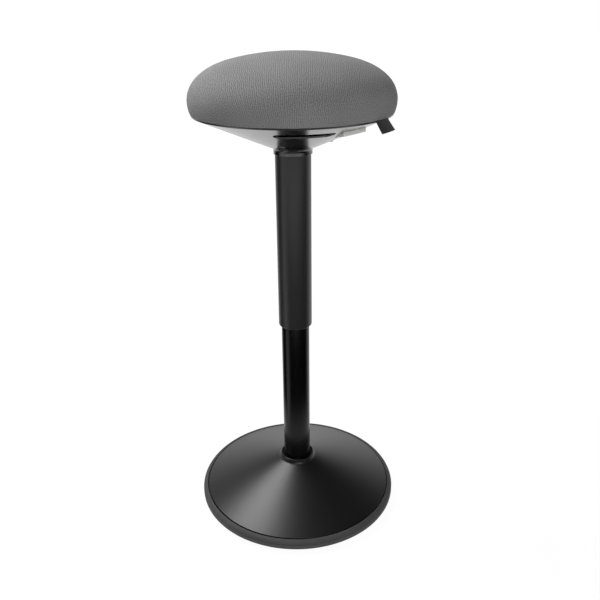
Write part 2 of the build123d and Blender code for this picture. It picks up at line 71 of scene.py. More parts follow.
def drawLine(name, points):
    # a plane merged to one point, then drawn out point by point and back to the start
    bpy.ops.object.select_all(action="DESELECT")
    bpy.ops.mesh.primitive_plane_add(size=mm)
    piece = bpy.context.object
    piece.name = piece.data.name = name
    bpy.ops.object.mode_set(mode="EDIT")
    bpy.ops.mesh.merge(type="CENTER")
    bpy.ops.transform.translate(value=points[0])
    for here, there in zip(points, points[1:] + points[:1]):
        step = Vector(there) - Vector(here)
        bpy.ops.mesh.extrude_vertices_move(TRANSFORM_OT_translate={"value": step})
    bpy.ops.mesh.select_all(action="SELECT")
    bpy.ops.mesh.remove_doubles(threshold=turning["merge"])
    return piece


def closeMesh(piece):
    bpy.ops.mesh.select_all(action="SELECT")
    bpy.ops.mesh.remove_doubles(threshold=turning["merge"])
    bpy.ops.mesh.normals_make_consistent(inside=False)
    bpy.ops.object.mode_set(mode="OBJECT")
    return piece


def turnPiece(name, outline, sides=turning["sides"]):
    piece = drawLine(name, [(radius, 0, level) for radius, level in outline])
    bpy.ops.mesh.spin(steps=sides, angle=2 * pi, center=(0, 0, 0), axis=(0, 0, 1))
    return closeMesh(piece)


def raisePlan(name, plan, bottom, top):
    # a flat outline filled and drawn straight up
    piece = drawLine(name, [(x, y, bottom) for x, y in plan])
    bpy.ops.mesh.edge_face_add()
    bpy.ops.mesh.extrude_region_move(TRANSFORM_OT_translate={"value": (0, 0, top - bottom)})
    return closeMesh(piece)


def roundCorners(corners, radius, steps=turning["cornerSteps"]):
    # a closed outline, drawn anticlockwise, with each of its corners turned into an arc
    plan = []
    for before, corner, after in zip(corners[-1:] + corners[:-1], corners, corners[1:] + corners[:1]):
        back = (Vector(before) - Vector(corner)).normalized()
        ahead = (Vector(after) - Vector(corner)).normalized()
        half = back.angle(ahead) / 2
        centre = Vector(corner) + (back + ahead).normalized() * radius / sin(half)
        first = Vector(corner) + back * radius / tan(half) - centre
        start = degrees(atan2(first.y, first.x))
        plan += arcLine(centre, radius, start, start + 180 - degrees(2 * half), steps)
    return plan


def placePiece(piece, bearing, reach=0.0, turn=0.0):
    # a piece made along +X is moved out along a bearing and pointed that way, less a turn
    piece.location = (reach * sin(radians(bearing)), -reach * cos(radians(bearing)), 0)
    piece.rotation_euler = (0, 0, radians(bearing - turn - 90))
    selectOnly(piece)
    bpy.ops.object.transform_apply(location=True, rotation=True, scale=True)
    return piece


def applyModifier(piece, kind, **settings):
    selectOnly(piece)
    modifier = piece.modifiers.new(kind.lower(), kind)
    for name, value in settings.items():
        setattr(modifier, name, value)
    bpy.ops.object.modifier_apply(modifier=modifier.name)


def combine(piece, other, operation):
    applyModifier(piece, "BOOLEAN", operation=operation, solver="EXACT", object=other)
    bpy.data.objects.remove(other)


def smoothPiece(piece, angle=turning["smoothAngle"]):
    selectOnly(piece)
    bpy.ops.object.shade_smooth_by_angle(angle=radians(angle))


def finishPiece(piece, body, slot, material, *nodes):
    piece.data.materials.clear()
    piece.data.materials.append(material)
    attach(piece, body)
    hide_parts(*nodes)
    print(piece.name, len(piece.data.polygons), "faces")


# Material helpers

def hexColour(code):
    # sRGB hex to the linear colour that shaders take
    parts = [int(code[place:place + 2], 16) / 255 for place in (1, 3, 5)]
    return [*(part / 12.92 if part <= 0.04045 else ((part + 0.055) / 1.055) ** 2.4 for part in parts), 1.0]


def addNode(tree, kind, inputs=None, **settings):
    node = tree.nodes.new("ShaderNode" + kind)
    for name, value in settings.items():
        setattr(node, name, value)
    for place, value in (inputs or {}).items():
        if isinstance(value, bpy.types.NodeSocket):
            tree.links.new(value, node.inputs[place])
        else:
            node.inputs[place].default_value = value
    return node


def startMaterial(name, **sockets):
    # a Principled shader with its even settings on its own sockets
    material = bpy.data.materials.new(name)
    material.use_nodes = True
    tree = material.node_tree
    shader = tree.nodes["Principled BSDF"]
    for socket, value in sockets.items():
        shader.inputs[socket.replace("_", " ")].default_value = value
    place = addNode(tree, "TexCoord").outputs["Object"]
    return material, tree, shader, place


def perSize(size):
    # noise has about one cell to a unit, so its scale is one over the cell's real size
    return 1 / size


def ribScale(pitch):
    # a Wave texture of scale 1 has a pitch of 2 pi / 20
    return 2 * pi / 20 / pitch


def plainFinish(settings, **sockets):
    # two close tones clouded by one noise; roughness and relief follow a finer one
    material, tree, shader, place = startMaterial(settings["name"], **sockets)
    cloud = addNode(tree, "TexNoise", {"Vector": place, "Scale": perSize(settings["cloud"]), "Detail": 2.0})
    grain = addNode(tree, "TexNoise", {"Vector": place, "Scale": perSize(settings["grain"]), "Detail": 3.0})
    tones = [hexColour(tone) for tone in settings["tones"]]
    colour = addNode(tree, "Mix", {0: cloud.outputs["Fac"], 6: tones[0], 7: tones[1]}, data_type="RGBA")
    rough = addNode(tree, "MapRange", {"Value": grain.outputs["Fac"], "To Min": settings["rough"][0],
                                       "To Max": settings["rough"][1]})
    relief = addNode(tree, "Bump", {"Height": grain.outputs["Fac"], "Strength": settings["relief"],
                                    "Distance": settings["depth"]})
    tree.links.new(colour.outputs[2], shader.inputs["Base Color"])
    tree.links.new(rough.outputs["Result"], shader.inputs["Roughness"])
    tree.links.new(relief.outputs["Normal"], shader.inputs["Normal"])
    return material


# Materials

knit = {"tones": ("#565656", "#9a9999"), "fleck": 1.4 * mm, "stretch": (1.0, 1.1, 1.0), "yarn": 1.0 * mm,
        "ribPitch": 3.15 * mm, "ribWander": 4.0, "patch": 55 * mm, "span": (0.415, 0.58), "depth": 0.3 * mm,
        "relief": 0.4, "shares": {"fleck": 0.48, "yarn": 0.4, "rib": 0.08, "patch": 0.04}}


def knittedPolyester():
    # Mid grey heathered knit: flecks of light and dark yarn over faint ribs, on a dry matt face with a trace
    # of sheen. The yarn is drawn about twice as coarse as real, so that it shows.
    material, tree, shader, place = startMaterial(
        "knitted polyester", Roughness=0.9, Sheen_Weight=0.05, Sheen_Roughness=0.45, Specular_IOR_Level=0.2)
    grain = addNode(tree, "UVMap", uv_map="grain").outputs["UV"]
    along = addNode(tree, "Mapping", {"Vector": grain, "Scale": knit["stretch"]}).outputs["Vector"]
    layers = {
        "fleck": addNode(tree, "TexNoise", {"Vector": along, "Scale": perSize(knit["fleck"]),
                                            "Detail": 2.0}),
        "yarn": addNode(tree, "TexNoise", {"Vector": grain, "Scale": perSize(knit["yarn"]), "Detail": 2.0}),
        "rib": addNode(tree, "TexWave", {"Vector": grain, "Scale": ribScale(knit["ribPitch"]), "Detail": 1.0,
                                         "Distortion": knit["ribWander"]}, bands_direction="X"),
        "patch": addNode(tree, "TexNoise", {"Vector": place, "Scale": perSize(knit["patch"]), "Detail": 1.0}),
    }
    tone = 0.0
    for layer, share in knit["shares"].items():
        tone = addNode(tree, "Math", {0: layers[layer].outputs["Fac"], 1: share, 2: tone},
                       operation="MULTIPLY_ADD").outputs[0]
    spread = addNode(tree, "MapRange", {"Value": tone, "From Min": knit["span"][0],
                                        "From Max": knit["span"][1]})
    tones = [hexColour(colour) for colour in knit["tones"]]
    colour = addNode(tree, "Mix", {0: spread.outputs["Result"], 6: tones[0], 7: tones[1]}, data_type="RGBA")
    relief = addNode(tree, "Bump", {"Height": tone, "Strength": knit["relief"], "Distance": knit["depth"]})
    tree.links.new(colour.outputs[2], shader.inputs["Base Color"])
    tree.links.new(relief.outputs["Normal"], shader.inputs["Normal"])
    return material


powder = {"name": "satin powder coat", "tones": ("#0e0e0f", "#131314"), "cloud": 60 * mm, "grain": 0.7 * mm,
          "rough": (0.32, 0.4), "relief": 0.2, "depth": 0.02 * mm}


def satinPowderCoat():
    # Satin black powder coat on pressed steel: a soft broad highlight broken by a very fine grit.
    return plainFinish(powder, Specular_IOR_Level=0.5)


lacquer = {"name": "satin stoving lacquer", "tones": ("#1e1e1f", "#242425"), "cloud": 60 * mm,
           "grain": 0.7 * mm, "rough": (0.34, 0.41), "relief": 0.2, "depth": 0.02 * mm}


def satinLacquer():
    # Satin black lacquer on drawn tube: charcoal rather than black, its reflections spread wide and dim.
    return plainFinish(lacquer, Specular_IOR_Level=0.5)


enamel = {"name": "gloss enamel", "tones": ("#060607", "#0b0b0c"), "cloud": 40 * mm, "grain": 4.0 * mm,
          "rough": (0.16, 0.24), "relief": 0.2, "depth": 0.01 * mm}


def glossEnamel():
    # Gloss black stoving enamel on drawn tube: near black, narrow reflections and a trace of orange peel.
    return plainFinish(enamel, Specular_IOR_Level=0.25)


rubber = {"name": "moulded rubber", "tones": ("#404041", "#4e4e4f"), "cloud": 25 * mm, "grain": 0.6 * mm,
          "rough": (0.6, 0.75), "relief": 0.3, "depth": 0.04 * mm}


def mouldedRubber():
    # Moulded black rubber gone greyish: matt, lighter than the paint, with a fine grain and a dry bloom.
    return plainFinish(rubber, Specular_IOR_Level=0.4)


gloss = {"name": "gloss black ABS", "tones": ("#0a0a0b", "#101011"), "cloud": 30 * mm, "grain": 12 * mm,
         "rough": (0.2, 0.28), "relief": 0.1, "depth": 0.02 * mm}


def glossAbs():
    # Gloss black moulded ABS: a skin that mirrors the floor softly at a flat angle and is near black face on.
    return plainFinish(gloss, IOR=1.5, Coat_Weight=0.5, Coat_Roughness=0.2)


greyAbs = {"name": "satin grey ABS", "tones": ("#f5f4f1", "#edece9"), "cloud": 20 * mm, "grain": 0.5 * mm,
           "rough": (0.38, 0.5), "relief": 0.2, "depth": 0.03 * mm}


def satinGreyAbs():
    # Light grey moulded ABS with a spark-eroded satin texture, so its highlight is soft and even.
    return plainFinish(greyAbs, IOR=1.53)


ribbon = {"tones": ("#040404", "#121213"), "twill": 1.4 * mm, "fibre": 0.5 * mm, "relief": 0.4,
          "depth": 0.1 * mm}


def wovenRibbon():
    # Black woven polyester ribbon: a slanting twill with a dull shine, coarser than real so that it shows.
    material, tree, shader, _ = startMaterial(
        "woven ribbon", Roughness=0.6, Sheen_Weight=0.05, Sheen_Roughness=0.4)
    grain = addNode(tree, "UVMap", uv_map="grain").outputs["UV"]
    twill = addNode(tree, "TexWave", {"Vector": grain, "Scale": ribScale(ribbon["twill"])},
                    bands_direction="DIAGONAL")
    fibre = addNode(tree, "TexNoise", {"Vector": grain, "Scale": perSize(ribbon["fibre"]), "Detail": 2.0})
    tone = addNode(tree, "Math", {0: twill.outputs["Fac"], 1: fibre.outputs["Fac"]}, operation="MULTIPLY")
    tones = [hexColour(colour) for colour in ribbon["tones"]]
    colour = addNode(tree, "Mix", {0: tone.outputs[0], 6: tones[0], 7: tones[1]}, data_type="RGBA")
    relief = addNode(tree, "Bump", {"Height": tone.outputs[0], "Strength": ribbon["relief"],
                                    "Distance": ribbon["depth"]})
    tree.links.new(colour.outputs[2], shader.inputs["Base Color"])
    tree.links.new(relief.outputs["Normal"], shader.inputs["Normal"])
    return material


# Inner pieces show only through the slot, the lever window and from below. The number says how metallic.
innerFinishes = {
    # sand-cast skin, dull and pitted
    "iron_weight": ({"name": "cast iron", "tones": ("#3a3937", "#4d4a47"), "cloud": 20 * mm,
                     "grain": 1.5 * mm, "rough": (0.6, 0.8), "relief": 0.4, "depth": 0.2 * mm}, 1.0),
    # bright plate, faintly clouded
    "zinc_steel": ({"name": "zinc plated steel", "tones": ("#aeb0ae", "#c6c7c3"), "cloud": 6 * mm,
                    "grain": 3.0 * mm, "rough": (0.28, 0.45), "relief": 0.4, "depth": 0.01 * mm}, 1.0),
    # ground, nearly a mirror
    "chrome_steel": ({"name": "hard chromed steel", "tones": ("#cfd1d3", "#dcdddd"), "cloud": 30 * mm,
                      "grain": 0.4 * mm, "rough": (0.06, 0.12), "relief": 0.4, "depth": 0.002 * mm}, 1.0),
    # waxy, slightly cloudy
    "bearing_plastic": ({"name": "natural acetal", "tones": ("#d9d6cb", "#e2dfd5"), "cloud": 15 * mm,
                         "grain": 5.0 * mm, "rough": (0.35, 0.5), "relief": 0.4, "depth": 0.01 * mm}, 0.0),
    # oily black
    "seal_rubber": ({"name": "nitrile rubber", "tones": ("#121213", "#1c1c1d"), "cloud": 8 * mm,
                     "grain": 0.8 * mm, "rough": (0.5, 0.65), "relief": 0.4, "depth": 0.02 * mm}, 0.0),
    # fine tool marks
    "lift_aluminium": ({"name": "turned aluminium", "tones": ("#bcbec0", "#cfd0d1"), "cloud": 10 * mm,
                        "grain": 0.5 * mm, "rough": (0.25, 0.4), "relief": 0.4, "depth": 0.01 * mm}, 1.0),
    # sanded birch, mottled by its rotary-cut face
    "plywood": ({"name": "birch plywood", "tones": ("#b8935f", "#d6b585"), "cloud": 9 * mm, "grain": 1.2 * mm,
                 "rough": (0.6, 0.75), "relief": 0.4, "depth": 0.05 * mm}, 0.0),
}


finishes = {
    "grey_fabric": knittedPolyester(),
    "satin_black_steel": satinPowderCoat(),
    "gloss_black_steel": glossEnamel(),
    "sole_rubber": mouldedRubber(),
    "gloss_black_plastic": glossAbs(),
    "light_grey_plastic": satinGreyAbs(),
    "label_ribbon": wovenRibbon(),
}
for slotName, (settings, metal) in innerFinishes.items():
    finishes[slotName] = plainFinish(settings, Metallic=metal)

for subpart in frame["record"]["subparts"]:
    node = frame["nodes"][subpart["node"]]
    if subpart["material_slot"] in finishes:  # the foam has none, since the cushion stands for it
        node.data.materials.clear()
        node.data.materials.append(finishes[subpart["material_slot"]])
print(len(finishes), "finishes on the nodes")


# Base: sole, edge ring and cone cover

soleShape = {"flat": 110.0 * mm, "curveSteps": 24, "screwCircle": 86.0 * mm, "screwCount": 6,
             "headBore": 5.55 * mm, "shankBore": 2.55 * mm, "headDepth": 7.0 * mm, "boreSides": 32,
             "rimRound": 0.5 * mm}
ringShape = {"shoulder": 8.0 * mm, "foot": 2.3 * mm, "seamRound": 0.8 * mm, "seamGap": 0.8 * mm,
             "grooveDrop": 6.5 * mm, "groove": 0.8 * mm, "grooveRound": 0.25 * mm, "clearance": 0.05 * mm}
coneShape = {"slope": 19.7, "sheet": 1.5 * mm, "bend": 8.0 * mm, "neck": 31.85 * mm, "neckRound": 1.2 * mm,
             "seamRound": 0.9 * mm}
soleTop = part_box("rubber_sole")[1].z
ringLow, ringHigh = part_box("edge_ring")
coneLow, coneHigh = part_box("base_cover")
seamRadius = coneHigh.x


def flareLine(neck, foot, slope, bend, up, wall=0.0):
    # arc from an upright neck to a cone; with a wall, the inner side of the sheet
    tilt = radians(slope)
    centre = (neck + bend, foot + up * bend * (1 / cos(tilt) - tan(tilt)))
    return arcLine(centre, bend + wall, 180, 180 + up * (90 - slope))


def makeSole():
    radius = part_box("rubber_sole")[1].x
    run = radius - soleShape["flat"]
    rise = ringLow.z
    curve = (run ** 2 + rise ** 2) / (2 * rise)
    sweep = degrees(asin(run / curve))
    under = arcLine((soleShape["flat"], curve), curve, -90, sweep - 90, soleShape["curveSteps"])
    roundEdge = soleShape["rimRound"]
    top = arcLine((radius - roundEdge, soleTop - roundEdge), roundEdge, 0, 90, steps=3)
    sole = turnPiece("rubberSole", [(0, 0), *under, *top, (0, soleTop)])
    head, shank, depth = soleShape["headBore"], soleShape["shankBore"], soleShape["headDepth"]
    below, above = -turning["overcut"], soleTop + turning["overcut"]
    boreLine = [(0, below), (head, below), (head, depth), (shank, depth), (shank, above), (0, above)]
    for place in range(soleShape["screwCount"]):
        bore = turnPiece("screwBore", boreLine, soleShape["boreSides"])
        bearing = place * 360 / soleShape["screwCount"]
        combine(sole, placePiece(bore, bearing, soleShape["screwCircle"]), "DIFFERENCE")
    smoothPiece(sole)
    finishPiece(sole, "base", "sole_rubber", finishes["sole_rubber"], "rubber_sole")


def makeEdgeRing():
    outer, top, foot = ringHigh.x, ringHigh.z, ringLow.z
    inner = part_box("base_weight")[1].x + ringShape["clearance"]
    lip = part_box("rubber_sole")[1].x + ringShape["clearance"]
    shoulder, footRound, seamRound = ringShape["shoulder"], ringShape["foot"], ringShape["seamRound"]
    groove, ease = ringShape["groove"], ringShape["grooveRound"]
    grooveTop = top - ringShape["grooveDrop"]
    middle = (outer - shoulder, top - shoulder)
    grooveAngle = degrees(asin((grooveTop + ease - middle[1]) / shoulder))
    seam = seamRadius + ringShape["seamGap"]
    outline = [(inner, soleTop), (inner, coneLow.z), (seam, coneLow.z)]
    outline += arcLine((seam + seamRound, top - seamRound), seamRound, 180, 90, steps=5)
    outline += arcLine(middle, shoulder, 90, grooveAngle, steps=14)
    outline += [(outer - ease, grooveTop), (outer - groove, grooveTop - ease)]
    outline += [(outer - groove, grooveTop - groove + ease), (outer - ease, grooveTop - groove)]
    outline += [(outer, grooveTop - groove - ease)]
    outline += arcLine((outer - footRound, foot + footRound), footRound, 0, -90, steps=6)
    outline += [(lip, foot), (lip, soleTop)]
    ring = turnPiece("edgeRing", outline)
    smoothPiece(ring)
    finishPiece(ring, "base", "sole_rubber", finishes["sole_rubber"], "edge_ring")


def makeCone():
    slope, sheet, bend, neck = coneShape["slope"], coneShape["sheet"], coneShape["bend"], coneShape["neck"]
    neckRound, seamRound = coneShape["neckRound"], coneShape["seamRound"]
    fall = tan(radians(slope))
    foot = ringHigh.z + (seamRadius - neck) * fall
    seam = seamRadius - ringShape["seamGap"]
    seamLevel = ringHigh.z + ringShape["seamGap"] * fall
    inside = seam - sheet
    insideLevel = seamLevel + sheet * fall - sheet / cos(radians(slope))
    # the rolled edge at the seam is tangent to the cone and to the upright skirt
    rollDrop = seamRound * tan(radians(90 - slope) / 2)
    roll = (seam - seamRound, seamLevel - rollDrop)
    outline = arcLine((neck - neckRound, coneHigh.z - neckRound), neckRound, 90, 0, steps=6)
    outline += flareLine(neck, foot, slope, bend, 1)
    outline += arcLine(roll, seamRound, 90 - slope, 0, steps=6)
    outline += [(seam, coneLow.z), (inside, coneLow.z), (inside, insideLevel)]
    outline += flareLine(neck, foot, slope, bend, 1, sheet)[::-1]
    outline += [(neck - sheet, coneHigh.z)]
    cone = turnPiece("baseCone", outline)
    smoothPiece(cone)
    finishPiece(cone, "base", "satin_black_steel", finishes["satin_black_steel"], "base_cover")


# Column: lower tube and cover tube

tubeShape = {"wall": 1.6 * mm, "edge": 0.4 * mm}
coverShape = {"wall": 1.5 * mm, "rolledEnd": 2.6 * mm, "topEdge": 0.4 * mm}


def makeLowerTube():
    low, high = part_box("lower_tube")
    outer, edge = high.x, tubeShape["edge"]
    inner = outer - tubeShape["wall"]
    outline = [(inner, low.z), (outer - edge, low.z), (outer, low.z + edge)]
    outline += arcLine((outer - edge, high.z - edge), edge, 0, 90, steps=4)
    outline += [(inner, high.z)]
    tube = turnPiece("lowerTube", outline)
    smoothPiece(tube)
    finishPiece(tube, "base", "gloss_black_steel", finishes["gloss_black_steel"], "lower_tube")


def makeCoverTube():
    low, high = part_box("cover_tube")
    outer, rolled, edge = high.x, coverShape["rolledEnd"], coverShape["topEdge"]
    inner = outer - coverShape["wall"]
    corner = (outer - rolled, low.z + rolled)
    outline = [(inner, high.z), (outer - edge, high.z), (outer, high.z - edge)]
    outline += arcLine(corner, rolled, 0, -90, steps=8)
    outline += arcLine(corner, rolled - coverShape["wall"], -90, 0, steps=5)
    tube = turnPiece("coverTube", outline)
    smoothPiece(tube)
    finishPiece(tube, "seat", "satin_black_steel", satinLacquer(), "cover_tube")


# Seat shell with its grip slot, lever window and screw bosses

shellShape = {"wall": 2.2 * mm, "collarGap": 0.15 * mm, "collarLength": 9.3 * mm, "collarEdge": 0.8 * mm,
              "bend": 6.0 * mm, "slope": 23.35, "rings": 24, "rimLand": 8.0 * mm, "rimRound": 0.4 * mm,
              "rimTopRound": 0.4 * mm, "seamLift": 0.6 * mm, "cutEdge": 0.5 * mm, "cutAngle": 50.0}
gripSlot = {"radius": 125.8 * mm, "width": 21.4 * mm, "start": -12.7, "end": 30.3, "sideSteps": 24,
            "endSteps": 10}
paddleShape = {"bearing": 45.5, "reach": 133.5 * mm, "turn": 10.0, "length": 28.0 * mm, "width": 43.5 * mm,
               "taper": 8.0, "hang": 6.8 * mm, "corner": 3.0 * mm, "play": 1.3 * mm, "edge": 1.2 * mm,
               "edgeAngle": 40.0, "smoothAngle": 25.0}
bossShape = {"circle": 60.0 * mm, "count": 4, "bearing": 75.0, "radius": 7.5 * mm, "sides": 48,
             "bore": 4.8 * mm, "shank": 2.05 * mm, "boreSides": 40, "floor": 14.0 * mm}
shellLow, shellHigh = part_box("seat_shell")
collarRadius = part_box("cover_tube")[1].x + shellShape["collarGap"] + shellShape["wall"]
coneFoot = shellLow.z + shellShape["collarLength"]
# the rim stands a little taller than the solid and the cushion starts above it, so that the seam reads dark
rimRadius, rimTop = shellHigh.x, shellHigh.z + shellShape["seamLift"]
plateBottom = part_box("seat_plate")[0].z


def shellLevel(radius):
    return coneFoot + (radius - collarRadius) * tan(radians(shellShape["slope"]))


def paddlePlan(play):
    # the paddle from above, the middle of its outer end at the origin; wider all round for its window
    lean = radians(paddleShape["taper"])
    ends = [play, -paddleShape["length"] - play]
    halves = [paddleShape["width"] / 2 + x * tan(lean) + play / cos(lean) for x in ends]
    corners = [(ends[0], -halves[0]), (ends[0], halves[0]), (ends[1], halves[1]), (ends[1], -halves[1])]
    return roundCorners(corners, paddleShape["corner"] + play)


def placePaddle(piece):
    return placePiece(piece, paddleShape["bearing"], paddleShape["reach"], paddleShape["turn"])


def gripPlan():
    # an arc slot round the column with round ends, in bearings turned to plan angles
    middle, half = gripSlot["radius"], gripSlot["width"] / 2
    sideSteps, endSteps = gripSlot["sideSteps"], gripSlot["endSteps"]
    inset = degrees(asin(half / middle))
    start, end = gripSlot["start"] + inset - 90, gripSlot["end"] - inset - 90
    tip = [(middle * cos(radians(angle)), middle * sin(radians(angle))) for angle in (start, end)]
    plan = arcLine((0, 0), middle + half, start, end, sideSteps)
    plan += arcLine(tip[1], half, end, end + 180, endSteps)[1:-1]
    plan += arcLine((0, 0), middle - half, end, start, sideSteps)
    return plan + arcLine(tip[0], half, start + 180, start + 360, endSteps)[1:-1]


def addBosses(shell, skin):
    # screw bosses from the middle of the skin up to the seat plate, each bored from below
    radius, bore, shank = bossShape["radius"], bossShape["bore"], bossShape["shank"]
    bottom = shellLevel(bossShape["circle"]) + skin / 2
    ceiling = plateBottom - bossShape["floor"]
    above = plateBottom + turning["overcut"]
    bossLine = [(0, bottom), (radius, bottom), (radius, plateBottom), (0, plateBottom)]
    boreLine = [(0, shellLow.z), (bore, shellLow.z), (bore, ceiling), (shank, ceiling), (shank, above),
                (0, above)]
    for place in range(bossShape["count"]):
        bearing = bossShape["bearing"] + place * 360 / bossShape["count"]
        boss = turnPiece("boss", bossLine, bossShape["sides"])
        combine(shell, placePiece(boss, bearing, bossShape["circle"]), "UNION")
        recess = turnPiece("recess", boreLine, bossShape["boreSides"])
        combine(shell, placePiece(recess, bearing, bossShape["circle"]), "DIFFERENCE")


def makeShell():
    wall, slope, bend, rimRound = (shellShape[key] for key in ("wall", "slope", "bend", "rimRound"))
    edge = shellShape["collarEdge"]
    land = rimRadius - shellShape["rimLand"]
    skin = wall / cos(radians(slope))
    outline = [(collarRadius - wall, shellLow.z), (collarRadius - edge, shellLow.z)]
    outline += arcLine((collarRadius - edge, shellLow.z + edge), edge, -90, 0, steps=4)[1:]
    outline += flareLine(collarRadius, coneFoot, slope, bend, -1)
    # rings along the cone keep its faces short, so that the cuts leave no mark on its shading
    start, rings = outline[-1][0], shellShape["rings"]
    for ring in range(1, rings):
        radius = start + (rimRadius - rimRound - start) * ring / rings
        outline.append((radius, shellLevel(radius)))
    rollRise = rimRound * tan(radians(90 - slope) / 2)
    roll = (rimRadius - rimRound, shellLevel(rimRadius) + rollRise)
    outline += arcLine(roll, rimRound, slope - 90, 0, steps=6)
    topRound = shellShape["rimTopRound"]
    outline += arcLine((rimRadius - topRound, rimTop - topRound), topRound, 0, 90, steps=3)
    outline += [(land, rimTop), (land, shellLevel(land) + skin)]
    outline += flareLine(collarRadius, coneFoot, slope, bend, -1, wall)[::-1]
    shell = turnPiece("seatShell", outline)
    slot = raisePlan("slotCutter", gripPlan(), coneFoot, rimTop + turning["overcut"])
    combine(shell, slot, "DIFFERENCE")
    window = raisePlan("windowCutter", paddlePlan(paddleShape["play"]), coneFoot, shellLevel(rimRadius))
    combine(shell, placePaddle(window), "DIFFERENCE")
    applyModifier(shell, "BEVEL", width=shellShape["cutEdge"], segments=2, limit_method="ANGLE",
                  angle_limit=radians(shellShape["cutAngle"]), use_clamp_overlap=True)
    addBosses(shell, skin)
    smoothPiece(shell)
    applyModifier(shell, "WEIGHTED_NORMAL", keep_sharp=True)
    finishPiece(shell, "seat", "gloss_black_plastic", finishes["gloss_black_plastic"], "seat_shell")


# Release lever paddle

def underPaddle(x, y, hang):
    # a point of the paddle's underside, a drop below the shell
    turn = radians(paddleShape["turn"])
    along = paddleShape["reach"] + x * cos(turn) + y * sin(turn)
    across = y * cos(turn) - x * sin(turn)
    return Vector((x, y, shellLevel(hypot(along, across)) - hang))


def makePaddle():
    half, hang = paddleShape["width"] / 2, paddleShape["hang"]
    left, right = underPaddle(0, -half, hang), underPaddle(0, half, hang)
    inner = underPaddle(-paddleShape["length"], 0, 0)
    paddle = raisePlan("leverPaddle", paddlePlan(0), coneFoot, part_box("lever_paddle")[1].z)
    # the upright block is cut off along its sloping underside
    bpy.ops.object.mode_set(mode="EDIT")
    bpy.ops.mesh.select_all(action="SELECT")
    upward = (right - left).cross(inner - left).normalized()
    bpy.ops.mesh.bisect(plane_co=left, plane_no=upward, use_fill=True, clear_inner=True)
    closeMesh(paddle)
    applyModifier(paddle, "BEVEL", width=paddleShape["edge"], segments=4, limit_method="ANGLE",
                  angle_limit=radians(paddleShape["edgeAngle"]))
    placePaddle(paddle)
    smoothPiece(paddle, paddleShape["smoothAngle"])
    finishPiece(paddle, "lever", "light_grey_plastic", finishes["light_grey_plastic"], "lever_paddle")


# Cushion: turned, puffed up by cloth pressure, then hollowed for the seat board

cushionShape = {"shoulder": 60.5 * mm, "widest": 13.5 * mm, "arcSteps": 20, "spread": 1.3 * mm,
                "sink": 2.2 * mm, "soften": -1.0 * mm, "voxel": 4.5 * mm, "skirt": 6.0 * mm,
                "hem": 28.0 * mm, "hemLift": 0.75 * mm, "boardGap": 0.05 * mm, "smoothAngle": 50.0}
clothShape = {"pressure": 4.0, "frames": 20, "pinned": 1.0 * mm, "most": 3.0 * mm, "smoothing": 5,
              "ringAngle": 2.0, "evenness": 0.8}
coverLow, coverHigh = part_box("seat_cover")


def cushionArcs(spread=0.0, sink=0.0, soften=0.0):
    # crown, shoulder and tuck: centre, radius, start and end angle of each
    radius, top = coverHigh.x + spread, coverHigh.z - sink
    widest = coverLow.z + cushionShape["widest"]
    shoulder = cushionShape["shoulder"] + soften
    height, span = top - widest, radius - shoulder
    crown = (height ** 2 + span ** 2 - shoulder ** 2) / (2 * (height - shoulder))
    lean = degrees(atan2(crown - height, span))
    tuck = radius - rimRadius
    tuckRadius = (tuck ** 2 + cushionShape["widest"] ** 2) / (2 * tuck)
    tuckAngle = -degrees(asin(cushionShape["widest"] / tuckRadius))
    return [((0, top - crown), crown, 90, lean), ((span, widest), shoulder, lean, 0),
            ((radius - tuckRadius, widest), tuckRadius, 0, tuckAngle)]


def cushionOutline(*start):
    outline = []
    for centre, radius, first, last in cushionArcs(*start):
        outline += arcLine(centre, radius, first, last, cushionShape["arcSteps"])
    skirtLevel = coverLow.z - cushionShape["skirt"]
    return [*outline, (rimRadius, skirtLevel), (0, skirtLevel)]


def ringNumber(place):
    # which ring of the cushion a point is in, counted from the hem to the crown
    climb = atan2(place.z - coverLow.z, hypot(place.x, place.y))
    return round(degrees(climb) / clothShape["ringAngle"])


def puffUp(cushion):
    start = [vertex.co.copy() for vertex in cushion.data.vertices]
    pinned = [vertex.index for vertex in cushion.data.vertices
              if vertex.co.z < coverLow.z + clothShape["pinned"]]
    hem = cushion.vertex_groups.new(name="hem")
    hem.add(pinned, 1.0, "REPLACE")
    selectOnly(cushion)
    cloth = cushion.modifiers.new("cloth", "CLOTH")
    cloth.settings.use_pressure = True
    cloth.settings.uniform_pressure_force = clothShape["pressure"]
    cloth.settings.vertex_group_mass = hem.name
    cloth.settings.effector_weights.gravity = 0
    for number in range(1, clothShape["frames"] + 1):
        scene.frame_set(number)
    bpy.ops.object.modifier_apply(modifier=cloth.name)
    scene.frame_set(1)
    steps = [vertex.co - place for vertex, place in zip(cushion.data.vertices, start)]
    outward = [Vector((place.x, place.y, 0)).normalized() for place in start]
    rings = {}
    for place, step, out in zip(start, steps, outward):
        rings.setdefault(ringNumber(place), []).append((step.dot(out), step.z))
    even = {ring: [sum(values) / len(values) for values in zip(*found)] for ring, found in rings.items()}
    for vertex, place, step, out in zip(cushion.data.vertices, start, steps, outward):
        # foam fills the cover evenly, so each step is drawn towards the mean of its ring
        spread, rise = even[ringNumber(place)]
        step = step.lerp(out * spread + Vector((0, 0, rise)), clothShape["evenness"])
        vertex.co = place + step.normalized() * min(step.length, clothShape["most"])
    applyModifier(cushion, "SMOOTH", factor=0.5, iterations=clothShape["smoothing"])
    print("cushion moved by up to", round(max(step.length for step in steps) / mm, 2), "mm before the cap")


